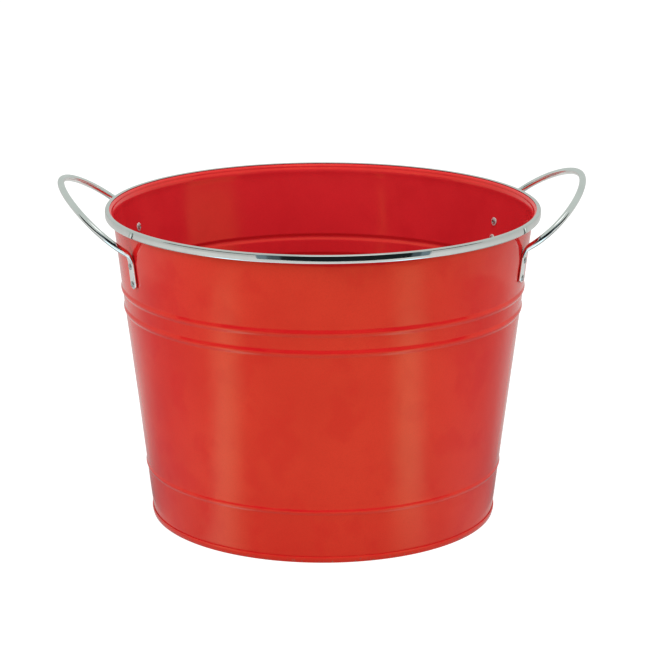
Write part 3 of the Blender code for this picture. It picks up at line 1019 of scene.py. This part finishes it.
def make_ground():
    """Pale ground, lit from within like a light table, dimmer in reflections and as fill light."""
    half = GROUND_HALF
    corners = [(-half, -half, 0.0), (half, -half, 0.0), (half, half, 0.0), (-half, half, 0.0)]
    mesh = bpy.data.meshes.new("ground")
    mesh.from_pydata(corners, [], [(0, 1, 2, 3)])
    material = bpy.data.materials.new("pale_ground")
    material.use_nodes = True
    tree = material.node_tree
    shader = tree.nodes["Principled BSDF"]
    shader.inputs["Base Color"].default_value = (*GROUND_COLOR, 1.0)
    shader.inputs["Roughness"].default_value = GROUND_ROUGHNESS
    shader.inputs["Specular IOR Level"].default_value = 0.0
    path = tree.nodes.new("ShaderNodeLightPath")
    # The colour inputs A and B of a Mix node are its sockets 6 and 7, and the colour result is 2
    tint = tree.nodes.new("ShaderNodeMix")
    tint.data_type = "RGBA"
    tint.inputs[6].default_value = (*GROUND_TINT, 1.0)
    tint.inputs[7].default_value = (*WHITE, 1.0)
    tree.links.new(path.outputs["Is Camera Ray"], tint.inputs["Factor"])
    tree.links.new(tint.outputs[2], shader.inputs["Emission Color"])
    glow = tree.nodes.new("ShaderNodeMapRange")
    glow.inputs["To Min"].default_value = GROUND_FILL
    glow.inputs["To Max"].default_value = GROUND_SEEN
    tree.links.new(path.outputs["Is Camera Ray"], glow.inputs["Value"])
    tree.links.new(glow.outputs["Result"], shader.inputs["Emission Strength"])
    mesh.materials.append(material)
    ground = bpy.data.objects.new("ground", mesh)
    bpy.context.scene.collection.objects.link(ground)
    ground.location.z = -GROUND_DROP


def make_world():
    """White to the camera, soft grey in reflections and as fill light."""
    world = bpy.data.worlds.new("studio")
    world.use_nodes = True
    tree = world.node_tree
    fill = tree.nodes["Background"]
    fill.inputs["Color"].default_value = (*WORLD_FILL_COLOR, 1.0)
    fill.inputs["Strength"].default_value = WORLD_FILL
    mirror = tree.nodes.new("ShaderNodeBackground")
    mirror.inputs["Color"].default_value = (*WORLD_MIRROR_COLOR, 1.0)
    mirror.inputs["Strength"].default_value = WORLD_MIRROR
    white = tree.nodes.new("ShaderNodeBackground")
    white.inputs["Color"].default_value = (*WHITE, 1.0)
    white.inputs["Strength"].default_value = 1.0
    path = tree.nodes.new("ShaderNodeLightPath")
    glossy = tree.nodes.new("ShaderNodeMixShader")
    seen = tree.nodes.new("ShaderNodeMixShader")
    tree.links.new(path.outputs["Is Glossy Ray"], glossy.inputs["Fac"])
    tree.links.new(fill.outputs["Background"], glossy.inputs[1])
    tree.links.new(mirror.outputs["Background"], glossy.inputs[2])
    tree.links.new(path.outputs["Is Camera Ray"], seen.inputs["Fac"])
    tree.links.new(glossy.outputs["Shader"], seen.inputs[1])
    tree.links.new(white.outputs["Background"], seen.inputs[2])
    tree.links.new(seen.outputs["Shader"], tree.nodes["World Output"].inputs["Surface"])
    bpy.context.scene.world = world


def soft_light(name, azimuth, distance, height, size, power):
    """Square soft light aimed at the bucket's middle."""
    light = bpy.data.lights.new(name, "AREA")
    light.shape = "SQUARE"
    light.size = size
    light.energy = power
    lamp = bpy.data.objects.new(name, light)
    lamp.location = studio_point(azimuth, distance, height)
    aim = Vector((0.0, 0.0, 0.5 * HEIGHT)) - lamp.location
    lamp.rotation_mode = "QUATERNION"
    lamp.rotation_quaternion = aim.to_track_quat("-Z", "Y")
    lamp.visible_camera = False
    lamp.visible_glossy = False
    bpy.context.scene.collection.objects.link(lamp)


def make_camera():
    """Camera a little above the rim, at the distance that the ellipses of rim and foot give."""
    data = bpy.data.cameras.new("camera")
    data.sensor_width = CAMERA_SENSOR
    data.lens = CAMERA_LENS
    data.clip_start = CAMERA_CLIP
    camera = bpy.data.objects.new("camera", data)
    bpy.context.scene.collection.objects.link(camera)
    reach = CAMERA_DISTANCE * math.cos(CAMERA_ELEVATION)
    camera.location = studio_point(0.0, reach, HEIGHT + CAMERA_DISTANCE * math.sin(CAMERA_ELEVATION))
    aim = studio_point(90.0, CAMERA_AIM_SIDE, HEIGHT - CAMERA_AIM_DEPTH)
    camera.rotation_mode = "QUATERNION"
    camera.rotation_quaternion = (aim - camera.location).to_track_quat("-Z", "Y")
    bpy.context.scene.camera = camera


def make_studio():
    """Camera, ground, world, cards and lights."""
    make_camera()
    make_ground()
    make_world()
    dark = emitter("dark_card", DARK_COLOR, 1.0)
    for name, first, last, level in DARK_CARDS:
        tone = emitter(name, DARK_COLOR, level)
        near = studio_point(first, CARD_DISTANCE, 0.0)
        far = studio_point(last, CARD_DISTANCE, 0.0)
        top = Vector((0.0, 0.0, CARD_HEIGHT))
        reflection_card(name, [near, far, far + top, near + top], tone)
    dark_ring(dark)
    bright = emitter("bright_card", WHITE, TOP_CARD_GLOW)
    sides = ((-1.0, -1.0), (1.0, -1.0), (1.0, 1.0), (-1.0, 1.0))
    middle = studio_point(*TOP_CARD_PLACE)
    corners = [middle + TOP_CARD_HALF * Vector((x, y, 0.0)) for x, y in sides]
    reflection_card("bright_top", corners, bright)
    inner = emitter("inner_glow", INNER_COLOR, 1.0, True)
    for name, first, last in INNER_CARDS:
        low_corners = [studio_point(azimuth, INNER_REACH, INNER_LOW) for azimuth in (first, last)]
        high_corners = [studio_point(azimuth, INNER_REACH, INNER_HIGH) for azimuth in (last, first)]
        reflection_card(name, low_corners + high_corners, inner)
    glow_strip("left_glow", LEFT_BAND, 0.0, GLOW_HALF_WIDTH, GLOW_LAYER)
    glow_strip("right_glow", RIGHT_BAND, 0.0, GLOW_HALF_WIDTH, GLOW_LAYER)
    glow_strip("front_glow", FRONT_BAND, 0.0, FRONT_HALF_WIDTH, FRONT_LAYER)
    for name, azimuth in SIDE_SHADES:
        glow_strip(name, SHADE_BAND, azimuth, SHADE_HALF_WIDTH, SHADE_LAYER, SHADE_STRENGTH)
    for settings in SOFT_LIGHTS:
        soft_light(*settings)


def main():
    """Dress the frame and set up the picture."""
    scene = bpy.context.scene
    scene.view_settings.view_transform = "Standard"
    outside = enamel("enamel_outside", **OUTSIDE_ENAMEL)
    # The inside's enamel is a darker copy of the outside's red: painted shade of the bucket's inside
    inside = enamel("enamel_inside_painted_shade", **SHADED_INSIDE_ENAMEL)
    bright_rim = chrome("chrome_rim", **RIM_CHROME)
    bright_rod = chrome("chrome_rod", **ROD_CHROME)
    make_wall(outside, inside)
    make_floor(outside, inside)
    make_channel(bright_rim)
    for name, turn, _ in SIDES:
        node = "handle_" + name
        add_piece("rod_" + name, handle_mesh("rod_" + name, turn), node, "rod_chrome", bright_rod)
    rivets = plated_steel("rivet_plate", **RIVET_PLATE)
    washers = plated_steel("washer_plate", **WASHER_PLATE)
    make_fasteners(rivets, washers)
    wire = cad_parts["rim_wire"]
    wire.data.materials.clear()
    wire.data.materials.append(drawn_wire("drawn_wire"))
    make_studio()


main()
